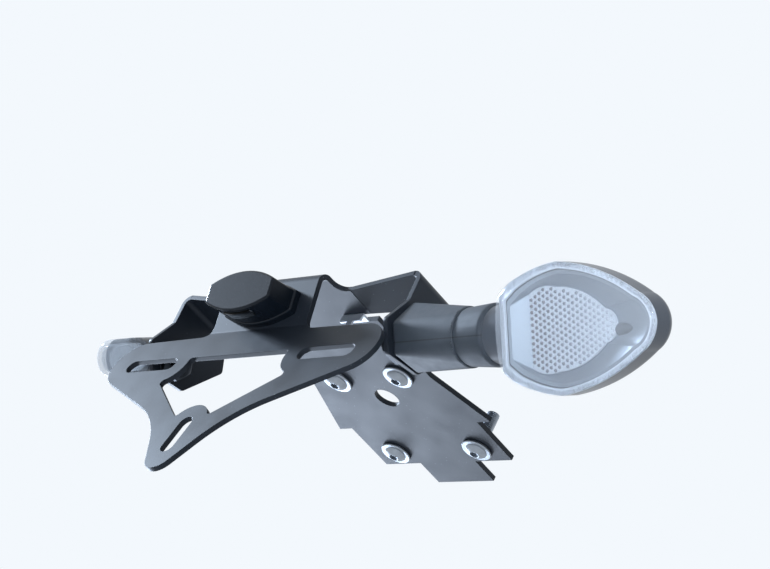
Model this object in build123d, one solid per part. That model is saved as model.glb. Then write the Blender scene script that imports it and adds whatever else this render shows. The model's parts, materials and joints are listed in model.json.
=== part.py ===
from build123d import *
import math
import os

# Tail tidy for a motorbike: one folded sheet bracket that bolts up under the tail, carries the
# number plate, a plate light and one direction indicator on each side.
# Frame: X to the rider's right, Y forward, Z up. The origin lies midway between the two rear tail
# screws, on the face that meets the tail. All sizes are in millimetres and degrees.

# Sheet of the bracket
sheet = 2.0
bend_inside = 2.0

# Tail screws, two rows
rear_span = 32.0
front_span = 42.4
row_gap = 44.6
screw_d = 5.0
screw_clearance = 0.4
screw_reach = 14.0
thread_d = 4.5
head_d = 8.6
head_h = 2.4
socket_flats = 3.0
socket_depth = 1.5
washer_od = 12.0
washer_t = 1.2

# Centre plate, half widths and distances ahead of the rear screws
plate_front = 64.8
nose_half = 14.5
nose_step = 52.4
front_half = 33.0
ear_front = 29.2
ear_half = 39.6
waist_start = 2.0
waist_half = 30.5
wire_hole_d = 10.0
wire_hole_ahead = 12.3

# Rear edge and tongue
rear_edge = 47.4
tongue_inset = 6.0
tongue_half = waist_half - tongue_inset
tongue_fillet = 4.5
tongue_reach = 58.5

# Neck and number plate carrier, measured down from the tongue's fold
neck_length = 22.3
neck_lean = 13.7
carrier_lean = 9.0
slot_drop = 15.3
shoulder_rise = 13.7
shoulder_fillet = 5.0
lobe_across = 58.0
lobe_rise = 1.7
lobe_r = 11.3
waist_across = 19.6
waist_drop = 28.7
waist_r = 50.0
tip_r = 7.0
carrier_reach = 54.5
slot_spacing = 92.2
slot_length = 27.0
slot_width = 6.0
low_slot_drop = 38.1
low_slot_length = 17.0
slot_boss_r = 9.7
low_boss_r = 9.0
window_rise = 2.5
window_side_drop = 8.2
window_foot_drop = 35.5
window_corner = 1.4

# Arms and lamp wings
arm_rise = 5.0
arm_front = 34.5
arm_front_at_fold = 28.6
relief_front = 31.0
relief_depth = 9.5
relief_half = waist_half - relief_depth
wing_half = 63.0
wing_corner = 2.0
wing_notch = (-46.6, -8.3)
wing_heel = (-51.8, -20.6)
wing_toe = (-44.3, -30.0)
wing_keel = (-28.8, -27.1)
wing_nose = (-17.0, -9.4)
wing_brow = (-19.5, -4.1)

# Lamp axis in the wings, and the turn that brings a lamp level when the plate follows the tail
lamp_back = 39.0
lamp_drop = 21.0
tail_slope = 39.5
stem_clearance = 0.3

# Right indicator, distances out from the wing's outer face
base_ahead = 2.4
base_rise = 1.5
base_half = 10.8
base_half_height = 12.2
base_side_half = 5.6
base_corner = 1.2
base_groove_t = 1.4
base_groove_in = 0.9
base_end_r = 10.3
base_end_round = 0.96
base_length = 30.0
sleeve_d = 21.4
sleeve_length = 13.0
sleeve_lip = 0.8
stem_d = 10.0
stem_bore_d = 6.0
stem_inside = 6.0
collar_d = 19.6
collar_overlap = 7.0
lens_start = 52.4
lens_length = 63.4
lens_inboard_half = 12.6
lens_shoulder_in = 4.4
lens_shoulder_half = 15.8
lens_crown_in = 24.6
lens_half = 21.2
lens_tail_in = 57.2
lens_tail_half = 9.2
lens_corner = 2.6
lens_inner_corner = 1.2
lens_front_bow = 0.9
lens_back_bow = 2.1
lens_tip_bow = 1.5
housing_skirt = 6.0
housing_bulge = 0.62
housing_wall = 2.2
rim_rear = 10.0
gasket_t = 0.8
gasket_width = 2.2
lens_wall = 1.6
lens_bulge = 0.22
lens_hollow_bulge = 0.155
optic_t = 0.8
optic_gap = 0.4
reflector_wall = 1.2
reflector_depth = 5.0
floor_in = 8.2
floor_inboard_half = 12.4
floor_shoulder_in = 1.6
floor_shoulder_half = 13.2
floor_crown_in = 19.0
floor_half = 13.9
floor_tail_in = 39.6
floor_tail_half = 5.6
floor_length = 44.4
floor_corner = 0.6
bulb_r = 3.4
bulb_seat_gap = 0.2
bulb_holder_r = 5.4
bulb_holder_length = 5.0
bulb_cap_r = 2.9

# Left indicator, a short capsule
pad_d = 15.8
pad_t = 3.0
short_stem_d = 8.0
short_start = 4.0
short_length = 26.5
short_height = 14.6
short_rise = 2.8
short_depth = 11.0
short_back_round = 4.5
short_rim_rear = 6.0
short_lens_depth = 6.0
short_lens_round = 3.2
short_wall = 1.8
short_board_t = 1.2
short_led = 3.0

# Lamp nuts and washers on the inner faces of the wings
nut_flats = 13.0
nut_t = 3.0
lamp_washer_od = 14.0
lamp_washer_t = 0.8

# Plate light on the neck
light_drop = 13.3
light_half = 16.8
light_half_height = 7.8
light_end_half = 3.6
light_end_r = 1.0
light_depth = 13.6
light_edge_r = 0.8
light_wall = 1.8
light_flange_half = 17.4
light_flange_half_height = 8.2
light_flange_end_half = 3.9
light_flange_t = 3.0
light_window_half = 7.0
light_window_front = 1.9
light_window_length = 3.6
light_lens_proud = 0.8
light_lens_clearance = 0.15
light_board_t = 1.2
light_board_rise = 3.0
light_led = 2.6
light_led_pitch = 5.0
light_screw_span = 22.0
light_screw_d = 4.0
light_screw_grip = 6.0
light_head_d = 7.6
light_head_h = 2.4
light_washer_od = 9.0
light_washer_t = 0.8

# Spring clips that hold the lamp leads at the relief slots
clip_across = 22.0
clip_behind = 33.4
clip_width = 10.5
clip_length = 4.0
clip_t = 0.9
clip_leg = 3.4
clip_leg_width = 2.8
clip_lip = 2.4


def mitred(points, distance):
    """Points of an open path moved to the right of its direction, with mitred corners."""
    vectors = [Vector(*point) for point in points]
    steps = [(b - a).normalized() for a, b in zip(vectors, vectors[1:])]
    rights = [Vector(step.Y, -step.X) for step in steps]
    moved = [vectors[0] + rights[0] * distance]
    for corner, before, after in zip(vectors[1:-1], rights, rights[1:]):
        bisector = (before + after).normalized()
        moved.append(corner + bisector * (distance / bisector.dot(before)))
    moved.append(vectors[-1] + rights[-1] * distance)
    return [(point.X, point.Y) for point in moved]


def sheet_section(points):
    """Section of a folded sheet: the path is one face, and the sheet lies to its right."""
    back = mitred(points, sheet)
    face = make_face(Polyline(*points, *reversed(back), close=True))
    for before, corner, after, inner in zip(points, points[1:-1], points[2:], back[1:-1]):
        arriving = Vector(*corner) - Vector(*before)
        leaving = Vector(*after) - Vector(*corner)
        turns_right = arriving.cross(leaving).Z < 0
        inside, outside = (inner, corner) if turns_right else (corner, inner)
        for spot, radius in ((inside, bend_inside), (outside, bend_inside + sheet)):
            nearest = face.vertices().sort_by_distance((*spot, 0))[0]
            face = fillet(nearest, radius)
    return face


def tangent_point(point, centre, radius, side):
    """Where a line from the point touches a circle: side is +1 or -1 about the line to its centre."""
    reach = Vector(*point) - Vector(*centre)
    angle = math.degrees(math.acos(radius / reach.length))
    touch = reach.normalized().rotate(Axis.Z, side * angle) * radius + Vector(*centre)
    return (touch.X, touch.Y)


def on_circle(centre, radius, degrees):
    turn = math.radians(degrees)
    return (centre[0] + radius * math.cos(turn), centre[1] + radius * math.sin(turn))


def both_sides(half):
    """A half on the right, joined to its mirror image on the left."""
    return half + mirror(half, about=Plane.YZ)


def pair(shape):
    """A piece on the right and its mirror image on the left, as separate solids."""
    return Compound(children=[shape, mirror(shape, about=Plane.YZ)])


# Places that several pieces share
neck_down = Vector(0, math.sin(math.radians(neck_lean)), -math.cos(math.radians(neck_lean)))
neck_top = Vector(0, -tongue_reach, 0)
neck_foot = neck_top + neck_down * neck_length
carrier_down = Vector(0, -math.sin(math.radians(carrier_lean)), -math.cos(math.radians(carrier_lean)))
carrier_origin = neck_foot + carrier_down * slot_drop
carrier_tip = carrier_origin + carrier_down * carrier_reach
carrier_plane = Plane(carrier_origin, x_dir=(1, 0, 0), z_dir=Vector(1, 0, 0).cross(-carrier_down))
light_origin = neck_top + neck_down * light_drop
light_plane = Plane(light_origin, x_dir=(1, 0, 0), z_dir=Vector(1, 0, 0).cross(-neck_down))
lamp_place = Pos(0, -lamp_back, -lamp_drop) * Rot(X=tail_slope)
screw_spots = [(side * rear_span / 2, 0) for side in (-1, 1)]
screw_spots += [(side * front_span / 2, row_gap) for side in (-1, 1)]
wing_inner = wing_half - sheet


def centre_outline():
    """Plan of the centre plate and tongue, with the relief slots that free the arms' folds."""
    tongue_end = -tongue_reach - bend_inside
    half = make_face(Polyline(
        (0, plate_front), (nose_half, plate_front), (nose_half, nose_step), (front_half, nose_step),
        (front_half, ear_front), (ear_half, ear_front), (waist_half, waist_start),
        (waist_half, -rear_edge), (tongue_half, -rear_edge), (tongue_half, tongue_end),
        (0, tongue_end), close=True))
    plan = both_sides(half)
    slot_wide = arm_front - relief_front
    slot = SlotCenterToCenter(2 * waist_half - 2 * relief_half, slot_wide)
    for side in (-1, 1):
        plan -= Pos(side * (waist_half + slot_wide / 2), -(arm_front + relief_front) / 2) * slot
    inner = [(side * tongue_half, -rear_edge) for side in (-1, 1)]
    for spot in inner:
        plan = fillet(plan.vertices().sort_by_distance((*spot, 0))[0], tongue_fillet)
    return plan


def carrier_outline():
    """Front view of the neck and carrier about the slot line: lobes, legs, window and slots."""
    lobe = (lobe_across, lobe_rise)
    tip = (0, tip_r - carrier_reach)
    waist = (waist_across, -waist_drop)
    lobe_low = tangent_point(waist, lobe, lobe_r, 1)
    tip_side = tangent_point(waist, tip, tip_r, -1)
    neck_up = slot_drop + neck_length + bend_inside
    half = make_face([
        Polyline((0, -carrier_reach), (0, neck_up), (tongue_half, neck_up), (tongue_half, shoulder_rise),
                 on_circle(lobe, lobe_r, 90)),
        ThreePointArc(on_circle(lobe, lobe_r, 90), on_circle(lobe, lobe_r, 0), lobe_low),
        Polyline(lobe_low, waist, tip_side),
        ThreePointArc(tip_side, on_circle(tip, tip_r, -60), (0, -carrier_reach)),
    ])
    half = fillet(half.vertices().sort_by_distance((tongue_half, shoulder_rise))[0], shoulder_fillet)
    half = fillet(half.vertices().sort_by_distance((*waist, 0))[0], waist_r)
    slot_end = slot_spacing / 2 - slot_length / 2 + slot_width / 2
    low_slot_end = low_slot_drop - low_slot_length / 2 + slot_width / 2
    opening = make_face(Polyline(
        (0, window_rise), (slot_end, window_rise), (slot_end, -window_side_drop),
        (0, -window_foot_drop), close=True))
    opening -= Pos(slot_end, 0) * Circle(slot_boss_r)
    opening -= Pos(0, -low_slot_end) * Circle(low_boss_r)
    opening = both_sides(opening)
    opening = fillet(opening.vertices(), window_corner)
    outline = both_sides(half) - opening
    outline -= [Pos(side * slot_spacing / 2, 0) * SlotOverall(slot_length, slot_width) for side in (-1, 1)]
    outline -= Pos(0, -low_slot_drop) * SlotOverall(low_slot_length, slot_width, rotation=90)
    return outline


def wing_outline():
    """Side view of an arm's fold and the eight-sided lug that the lamp seats on."""
    fold_rear = (-rear_edge, arm_rise)
    fold_front = (-arm_front_at_fold, arm_rise)
    over = bend_inside + sheet
    corners = [fold_rear, wing_notch, wing_heel, wing_toe, wing_keel, wing_nose, wing_brow, fold_front]
    lug = make_face(Polyline(*corners, close=True))
    lug = fillet([lug.vertices().sort_by_distance((*spot, 0))[0] for spot in corners[1:-1]], wing_corner)
    top = make_face(Polyline(
        fold_rear, (fold_rear[0], arm_rise + over), (fold_front[0], arm_rise + over), fold_front, close=True))
    root = make_face(Polyline(
        fold_front, fold_rear, (-rear_edge, -over), (-arm_front_at_fold, -over), close=True))
    return lug + top, lug + top + root


def bracket_arm():
    """One arm that rises from the centre plate and folds down into a lamp wing."""
    low = wing_toe[1] - sheet
    path = [(tongue_half, 0), (waist_half, 0), (wing_half, arm_rise), (wing_half, low)]
    strip = extrude(Plane.XZ * sheet_section(path), amount=2 * tongue_reach)
    wing_face, arm_face = wing_outline()
    fold = wing_half - sheet - bend_inside
    wing_zone = extrude(Plane.YZ.offset(fold) * wing_face, amount=2 * (wing_half - fold))
    arm_zone = extrude(Plane.YZ * arm_face, amount=fold)
    plan = make_face(Polyline(
        (tongue_half, -rear_edge), (fold, -rear_edge), (fold, -arm_front_at_fold),
        (waist_half, -arm_front), (tongue_half, -arm_front), close=True))
    arm_zone &= extrude(plan, amount=2 * arm_rise, both=True)
    arm = strip & (wing_zone + arm_zone)
    hole = lamp_place * Rot(Y=90) * Cylinder(stem_d / 2 + stem_clearance, 4 * wing_half)
    return arm - hole


def main_bracket():
    """The whole folded sheet: centre plate, tongue, neck, carrier, arms and wings."""
    path = [(-plate_front, 0), (-neck_top.Y, neck_top.Z), (-neck_foot.Y, neck_foot.Z)]
    path.append((-carrier_tip.Y, carrier_tip.Z))
    from_left = Plane(origin=(0, 0, 0), x_dir=(0, -1, 0), z_dir=(-1, 0, 0))
    strip = extrude(from_left * sheet_section(path), amount=2 * wing_half, both=True)
    split = -rear_edge - tongue_fillet
    ahead = Pos(0, split + plate_front, 0) * Box(4 * wing_half, 2 * plate_front, 4 * sheet)
    flat = strip & extrude(centre_outline(), amount=2 * sheet, both=True) & ahead
    cut = extrude(carrier_plane * carrier_outline(), amount=2 * tongue_reach, both=True)
    hanging = (strip & cut) - ahead
    whole = flat + hanging
    arm = bracket_arm()
    whole = whole + arm + mirror(arm, about=Plane.YZ)
    for spot in screw_spots:
        whole -= Pos(*spot) * Cylinder(screw_d / 2 + screw_clearance / 2, 4 * sheet)
    whole -= Pos(0, wire_hole_ahead) * Cylinder(wire_hole_d / 2, 4 * sheet)
    for side in (-1, 1):
        lug = light_plane * Pos(side * light_screw_span / 2, 0)
        whole -= lug * Cylinder(light_screw_d / 2 + screw_clearance / 2, 4 * sheet)
    return whole


def tail_screw():
    """Dome head screw, head down, with a hexagon socket and a plain shank in the sheet.

    The thread that stands up into the tail is drawn plain, at its mean size.
    """
    under = -sheet - washer_t
    cap_r = (head_d ** 2 / 4 + head_h ** 2) / (2 * head_h)
    ball = Pos(0, 0, under - head_h + cap_r) * Sphere(cap_r)
    below = Pos(0, 0, under - head_h / 2) * Cylinder(head_d / 2, head_h)
    head = ball & below
    socket = RegularPolygon(socket_flats / 2, 6, major_radius=False)
    head -= Pos(0, 0, under - head_h) * extrude(socket, amount=socket_depth)
    shank = Pos(0, 0, under / 2) * Cylinder(screw_d / 2, -under)
    thread = Pos(0, 0, screw_reach / 2) * Cylinder(thread_d / 2, screw_reach)
    return head + shank + thread


def ring(outer_d, inner_d, thickness):
    """Flat ring standing on the XY plane."""
    return extrude(Circle(outer_d / 2) - Circle(inner_d / 2), amount=thickness)


def tail_screws():
    return Compound(children=[Pos(*spot) * tail_screw() for spot in screw_spots])


def tail_washers():
    washer = Pos(0, 0, -sheet - washer_t) * ring(washer_od, screw_d + screw_clearance, washer_t)
    return Compound(children=[Pos(*spot) * washer for spot in screw_spots])


def lead_clip():
    """Spring steel clip under the plate: a flat leaf, a lip along its rear and a leg below the lip."""
    under = -sheet - clip_t
    leaf = Pos(0, 0, under + clip_t / 2) * Box(clip_width, clip_length, clip_t)
    lip = Pos(0, -clip_length / 2 + clip_t / 2, under - clip_lip / 2) * Box(clip_width, clip_t, clip_lip)
    leg_at = Pos(0, -clip_length / 2 + clip_t / 2, under - clip_lip - clip_leg / 2)
    leg = leg_at * Box(clip_leg_width, clip_t, clip_leg)
    return Pos(clip_across, -clip_behind, 0) * (leaf + lip + leg)


def light_face(half_width, half_height, end_half):
    """Leaf with bowed long sides and cut, softened ends."""
    leaf = make_face([
        ThreePointArc((-half_width, end_half), (0, half_height), (half_width, end_half)),
        Line((half_width, end_half), (half_width, -end_half)),
        ThreePointArc((half_width, -end_half), (0, -half_height), (-half_width, -end_half)),
        Line((-half_width, -end_half), (-half_width, end_half)),
    ])
    return fillet(leaf.vertices(), light_end_r)


def light_hollow(gap):
    """Inside outline of the plate light, less the gap that a piece in it keeps."""
    half_height = light_half_height - light_wall - gap
    return light_face(light_half - light_wall, half_height, light_end_half - light_wall)


def light_body():
    """Hollow plate light housing with a window in its underside."""
    length = light_depth - light_flange_t
    outer = extrude(light_face(light_half, light_half_height, light_end_half), amount=length)
    front = outer.faces().sort_by(Axis.Z)[-1]
    outer = fillet(front.edges(), light_edge_r)
    hollow = extrude(light_hollow(0), amount=length - light_wall)
    boss = Circle(light_screw_d / 2 + light_wall) - Circle(light_screw_d / 2)
    post = extrude(boss, amount=length - light_wall)
    bosses = [Pos(side * light_screw_span / 2, 0) * post for side in (-1, 1)]
    window_mid = length - light_window_front - light_window_length / 2
    window = Box(2 * light_window_half, 2 * light_half_height, light_window_length)
    body = outer - hollow - Pos(0, -light_half_height, window_mid) * window
    for one in bosses:
        body += one
    return light_plane * Pos(0, 0, light_flange_t) * body


def light_base():
    """Wider foot of the plate light, flat against the neck."""
    face = light_face(light_flange_half, light_flange_half_height, light_flange_end_half)
    foot = extrude(face, amount=light_flange_t)
    foot = fillet(foot.faces().sort_by(Axis.Z)[-1].edges(), light_edge_r)
    for side in (-1, 1):
        foot -= Pos(side * light_screw_span / 2, 0) * Cylinder(
            light_screw_d / 2 + screw_clearance / 2, 4 * light_flange_t)
    return light_plane * foot


def light_lens():
    """Clear strip in the window of the plate light's underside."""
    length = light_depth - light_flange_t
    proud = light_face(light_half, light_half_height + light_lens_proud, light_end_half)
    core = light_hollow(light_lens_clearance)
    wide = 2 * (light_window_half - light_lens_clearance)
    deep = light_window_length - 2 * light_lens_clearance
    strip = extrude(proud - core, amount=deep)
    strip &= Pos(0, -light_half_height, deep / 2) * Box(wide, 2 * light_half_height, deep)
    start = light_flange_t + length - light_window_front - light_window_length + light_lens_clearance
    return light_plane * Pos(0, 0, start) * strip


def light_board():
    """Circuit board over the window, with three light emitting diodes facing down."""
    length = light_depth - light_flange_t
    deep = length - 2 * light_wall
    wide = light_screw_span - light_screw_d - 2 * light_wall - 2 * light_lens_clearance
    board = Pos(0, light_board_rise, deep / 2) * Box(wide, light_board_t, deep)
    for step in (-1, 0, 1):
        spot = Pos(step * light_led_pitch, light_board_rise - light_board_t / 2 - light_led / 4, deep / 2)
        board += spot * Box(light_led, light_led / 2, light_led)
    return light_plane * Pos(0, 0, light_flange_t) * board


def light_fasteners():
    """Screws through the neck into the plate light, and their washers, heads ahead of the neck."""
    screws = []
    washers = []
    for side in (-1, 1):
        spot = light_plane * Pos(side * light_screw_span / 2, 0, -sheet)
        washers.append(spot * Pos(0, 0, -light_washer_t) * ring(
            light_washer_od, light_screw_d + screw_clearance, light_washer_t))
        seat = -light_washer_t
        reach = sheet + light_flange_t + light_screw_grip - seat
        head = Pos(0, 0, seat - light_head_h / 2) * Cylinder(light_head_d / 2, light_head_h)
        head = fillet(head.faces().sort_by(Axis.Z)[0].edges(), light_head_h / 2)
        socket = RegularPolygon(socket_flats / 2, 6, major_radius=False)
        head -= Pos(0, 0, seat - light_head_h) * extrude(socket, amount=light_head_h / 2)
        screws.append(spot * (head + Pos(0, 0, seat + reach / 2) * Cylinder(light_screw_d / 2, reach)))
    return Compound(children=screws), Compound(children=washers)


# Lamp pieces are drawn level about the lamp axis, with X outwards, Y forward and Z up
along_x = Plane(origin=(0, 0, 0), x_dir=(0, 1, 0), z_dir=(1, 0, 0))
lamp_start = wing_half + lens_start


def rearward(depth):
    return Plane(origin=(0, -depth, 0), x_dir=(1, 0, 0), z_dir=(0, -1, 0))


def forward(depth):
    return Plane(origin=(0, -depth, 0), x_dir=(1, 0, 0), z_dir=(0, 1, 0))


def foot_face(inset):
    """Long hexagon of the right indicator's foot, drawn in by the inset."""
    half = base_half - inset
    tall = base_half_height - inset
    side = base_side_half - inset / 2
    outline = make_face(Polyline(
        (-half, side), (0, tall), (half, side), (half, -side), (0, -tall), (-half, -side), close=True))
    return Pos(base_ahead, base_rise) * fillet(outline.vertices(), base_corner)


def foot_end():
    """Hexagon with its corners rounded almost to a circle, where the foot meets the sleeve."""
    hexagon = RegularPolygon(base_end_r, 6, major_radius=False, rotation=30)
    return fillet(hexagon.vertices(), base_end_round * base_end_r)


def lamp_base():
    """Rubber foot of the right indicator: a grooved hexagon on the wing that tapers to the round sleeve."""
    start = wing_half + base_groove_t
    groove = extrude(along_x.offset(wing_half) * foot_face(base_groove_in), amount=base_groove_t)
    taper = loft([along_x.offset(start) * foot_face(0), along_x.offset(wing_half + base_length) * foot_end()])
    return groove + taper - lamp_stem_hole()


def lamp_stem_hole():
    return Rot(Y=90) * Cylinder(stem_d / 2 + stem_clearance, 4 * wing_half)


def lamp_sleeve():
    """Round rubber sleeve with a rolled lip at its outer end."""
    start = wing_half + base_length
    outside = sleeve_d / 2
    end = start + sleeve_length
    profile = make_face(Polyline(
        (start, stem_d / 2 + stem_clearance), (start, outside - sleeve_lip), (end - 2 * sleeve_lip, outside),
        (end, outside - sleeve_lip), (end, stem_d / 2 + stem_clearance), close=True))
    return revolve(Plane.XY * profile, axis=Axis.X)


def bowed(start, end, rise):
    """Arc between two points that rises to the left of the line between them."""
    step = Vector(*end) - Vector(*start)
    left = Vector(-step.Y, step.X).normalized()
    middle = Vector(*start) + step * 0.5 + left * rise
    return ThreePointArc(start, (middle.X, middle.Y), end)


def half_leaf(heel, shoulder, crown, tail, point, corner):
    """Upper half of a leaf: a straight inboard end, a crown and a pointed outer end."""
    half = make_face([
        Polyline((point, 0), (heel[0], 0), heel, shoulder),
        bowed(shoulder, crown, lens_front_bow),
        bowed(crown, tail, lens_back_bow),
        bowed(tail, (point, 0), lens_tip_bow),
    ])
    for spot in (heel, shoulder):
        half = fillet(half.vertices().sort_by_distance((*spot, 0))[0], corner)
    return half


def lamp_outline(inset):
    """Upper half of the right indicator's rim, drawn in by the inset."""
    inboard = lamp_start + inset
    return half_leaf(
        heel=(inboard, lens_inboard_half - inset),
        shoulder=(inboard + lens_shoulder_in, lens_shoulder_half - inset),
        crown=(lamp_start + lens_crown_in, lens_half - inset),
        tail=(lamp_start + lens_tail_in - inset, lens_tail_half - inset / 2),
        point=lamp_start + lens_length - inset,
        corner=lens_inner_corner if inset else lens_corner)


def floor_face(inset):
    """Whole floor of the reflector dish, drawn in by the inset."""
    inboard = lamp_start + floor_in + inset
    half = half_leaf(
        heel=(inboard, floor_inboard_half - inset),
        shoulder=(inboard + floor_shoulder_in, floor_shoulder_half - inset),
        crown=(lamp_start + floor_crown_in, floor_half - inset),
        tail=(lamp_start + floor_tail_in - inset, floor_tail_half - inset / 2),
        point=lamp_start + floor_length - inset,
        corner=floor_corner)
    return half + mirror(half, about=Plane.XZ)


def lamp_face(inset):
    """Whole leaf: the half outline and its mirror image below."""
    half = lamp_outline(inset)
    return half + mirror(half, about=Plane.XZ)


def lamp_bowl(inset, bulge, side, rim):
    """Half of a flattened solid of revolution on a rim plane, ahead of it (side 1) or behind it (side -1)."""
    round_body = scale(revolve(lamp_outline(inset), axis=Axis.X), by=(1, bulge, 1))
    room = Box(2 * lens_length, 2 * lens_half, 4 * lens_half)
    half = round_body & Pos(lamp_start + lens_length / 2, side * lens_half, 0) * room
    return Pos(0, -rim, 0) * half


def lamp_shell(inset):
    """Straight skirt ahead of the rim, closed by a bowl."""
    skirt = extrude(forward(rim_rear) * mirror(lamp_face(inset), about=Plane.XZ), amount=housing_skirt)
    return skirt + lamp_bowl(inset, housing_bulge, 1, rim_rear - housing_skirt)


def lamp_housing():
    """Black bowl of the right indicator with the collar that plugs into the sleeve."""
    start = wing_half + base_length + sleeve_length
    collar_end = lamp_start + collar_overlap
    collar = Rot(Y=90) * Cylinder(collar_d / 2, collar_end - start)
    bowl = lamp_shell(0) + Pos((start + collar_end) / 2, 0, 0) * collar
    return bowl - lamp_shell(housing_wall) - lamp_stem_hole()


def lamp_gasket():
    face = lamp_face(0) - lamp_face(gasket_width)
    return extrude(rearward(rim_rear) * face, amount=gasket_t)


def lamp_lens():
    """Clear domed cover of the right indicator."""
    start = rim_rear + gasket_t
    return lamp_bowl(0, lens_bulge, -1, start) - lamp_bowl(lens_wall, lens_hollow_bulge, -1, start)


def lamp_optic():
    """Inner prism plate on the floor of the reflector dish."""
    return extrude(rearward(rim_rear - reflector_depth) * floor_face(optic_gap), amount=optic_t)


def dish_form(rim_inset, floor_inset, depth):
    """Solid between the rim and a floor at the given depth."""
    rim = rearward(rim_rear) * lamp_face(rim_inset)
    floor = rearward(rim_rear - depth) * floor_face(floor_inset)
    return loft([rim, floor], ruled=True)


def lamp_reflector():
    """Bright dish that slopes from the rim to a flat floor, with a hole for the bulb."""
    inset = housing_wall + optic_gap
    dish = dish_form(inset, -reflector_wall, reflector_depth + reflector_wall)
    dish -= dish_form(inset + reflector_wall, 0, reflector_depth)
    hole = Rot(X=90) * Cylinder(bulb_holder_r + stem_clearance, 4 * lens_half)
    return dish - Pos(lamp_start + lens_crown_in, 0, 0) * hole


def lamp_bulb():
    """Glass bulb and the socket that stands on the housing's back."""
    inner_half = lens_half - housing_wall
    deep = housing_skirt + housing_bulge * math.sqrt(inner_half ** 2 - bulb_holder_r ** 2)
    back = deep - rim_rear - bulb_seat_gap
    spot = Pos(lamp_start + lens_crown_in, 0, 0) * Rot(X=90)
    middle = bulb_holder_length / 2
    well = Pos(0, 0, middle / 2) * Cylinder(bulb_cap_r + stem_clearance, middle)
    holder = spot * Pos(0, 0, middle - back) * (Cylinder(bulb_holder_r, bulb_holder_length) - well)
    cap_foot = middle - back
    glass_end = rim_rear - reflector_depth - optic_gap
    stalk = glass_end - bulb_r - cap_foot
    glass = spot * Pos(0, 0, glass_end - bulb_r) * Sphere(bulb_r)
    glass += spot * Pos(0, 0, cap_foot + stalk / 2) * Cylinder(bulb_cap_r, stalk)
    return glass, holder


def lamp_stem():
    """Threaded hollow stem from inside the wing to the collar."""
    start = wing_inner - stem_inside
    end = wing_half + base_length + sleeve_length + collar_overlap / 2
    tube = Cylinder(stem_d / 2, end - start) - Cylinder(stem_bore_d / 2, end - start)
    return Pos((start + end) / 2, 0, 0) * Rot(Y=90) * tube


def lamp_washer(bore_d):
    face = Circle(lamp_washer_od / 2) - Circle(bore_d / 2 + stem_clearance)
    return extrude(along_x.offset(wing_inner - lamp_washer_t) * face, amount=lamp_washer_t)


def lamp_nut(bore_d):
    face = RegularPolygon(nut_flats / 2, 6, major_radius=False) - Circle(bore_d / 2 + stem_clearance / 2)
    block = extrude(along_x.offset(wing_inner - lamp_washer_t - nut_t) * face, amount=nut_t)
    return block


def short_outline(inset):
    """Capsule outline of the left indicator, drawn on the right and mirrored later."""
    middle = wing_half + short_start + short_length / 2
    return Pos(middle, 0) * SlotOverall(short_length - 2 * inset, short_height - 2 * inset)


def short_rearward(depth):
    return Plane(origin=(0, -depth, short_rise), x_dir=(1, 0, 0), z_dir=(0, -1, 0))


def short_forward(depth):
    return Plane(origin=(0, -depth, short_rise), x_dir=(1, 0, 0), z_dir=(0, 1, 0))


def short_pad():
    """Rubber pad between the left wing and its lamp, with a spigot in the wing's hole."""
    pad = extrude(along_x.offset(wing_half) * Circle(pad_d / 2), amount=pad_t)
    pad = fillet(pad.faces().sort_by(Axis.X)[-1].edges(), pad_t / 3)
    spigot = extrude(along_x.offset(wing_inner) * Circle(stem_d / 2), amount=sheet)
    bore = Rot(Y=90) * Cylinder(short_stem_d / 2 + stem_clearance, 4 * wing_half)
    return pad + spigot - bore


def short_body():
    """Black back shell of the left indicator with its round foot."""
    shell = extrude(short_forward(short_rim_rear) * short_outline(0), amount=short_depth)
    shell = fillet(shell.faces().sort_by(Axis.Y)[-1].edges(), short_back_round)
    shell -= extrude(short_forward(short_rim_rear) * short_outline(short_wall),
                     amount=short_depth - short_wall)
    foot_end = wing_half + short_start + short_height / 2
    foot = Circle(short_stem_d / 2 + short_wall)
    shell += extrude(along_x.offset(wing_half + pad_t) * foot, amount=short_start - pad_t + short_wall)
    socket = extrude(along_x.offset(wing_half) * Circle(short_stem_d / 2), amount=foot_end - wing_half)
    return shell - socket


def short_lens():
    """Clear domed cover of the left indicator."""
    cover = extrude(short_rearward(short_rim_rear) * short_outline(0), amount=short_lens_depth)
    cover = fillet(cover.faces().sort_by(Axis.Y)[0].edges(), short_lens_round)
    hollow = extrude(short_rearward(short_rim_rear) * short_outline(short_wall),
                     amount=short_lens_depth - short_wall)
    hollow = fillet(hollow.faces().sort_by(Axis.Y)[0].edges(), short_lens_round - short_wall)
    return cover - hollow


def short_board():
    """Diode board in the mouth of the left indicator's shell."""
    fit = short_wall + stem_clearance
    board = extrude(short_forward(short_rim_rear) * short_outline(fit), amount=short_board_t)
    middle = wing_half + short_start + short_length / 2
    for step in (-1, 0, 1):
        board += Pos(middle + step * short_led * 2, -short_rim_rear - short_led / 4, short_rise) * Box(
            short_led, short_led / 2, short_led)
    return board


def short_stem():
    """Threaded stem of the left indicator."""
    start = wing_inner - stem_inside
    end = wing_half + short_start + short_wall
    return Pos((start + end) / 2, 0, 0) * Rot(Y=90) * Cylinder(short_stem_d / 2, end - start)


def right_lamp(piece):
    return lamp_place * piece


def left_lamp(piece):
    return mirror(lamp_place * piece, about=Plane.YZ)


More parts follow.
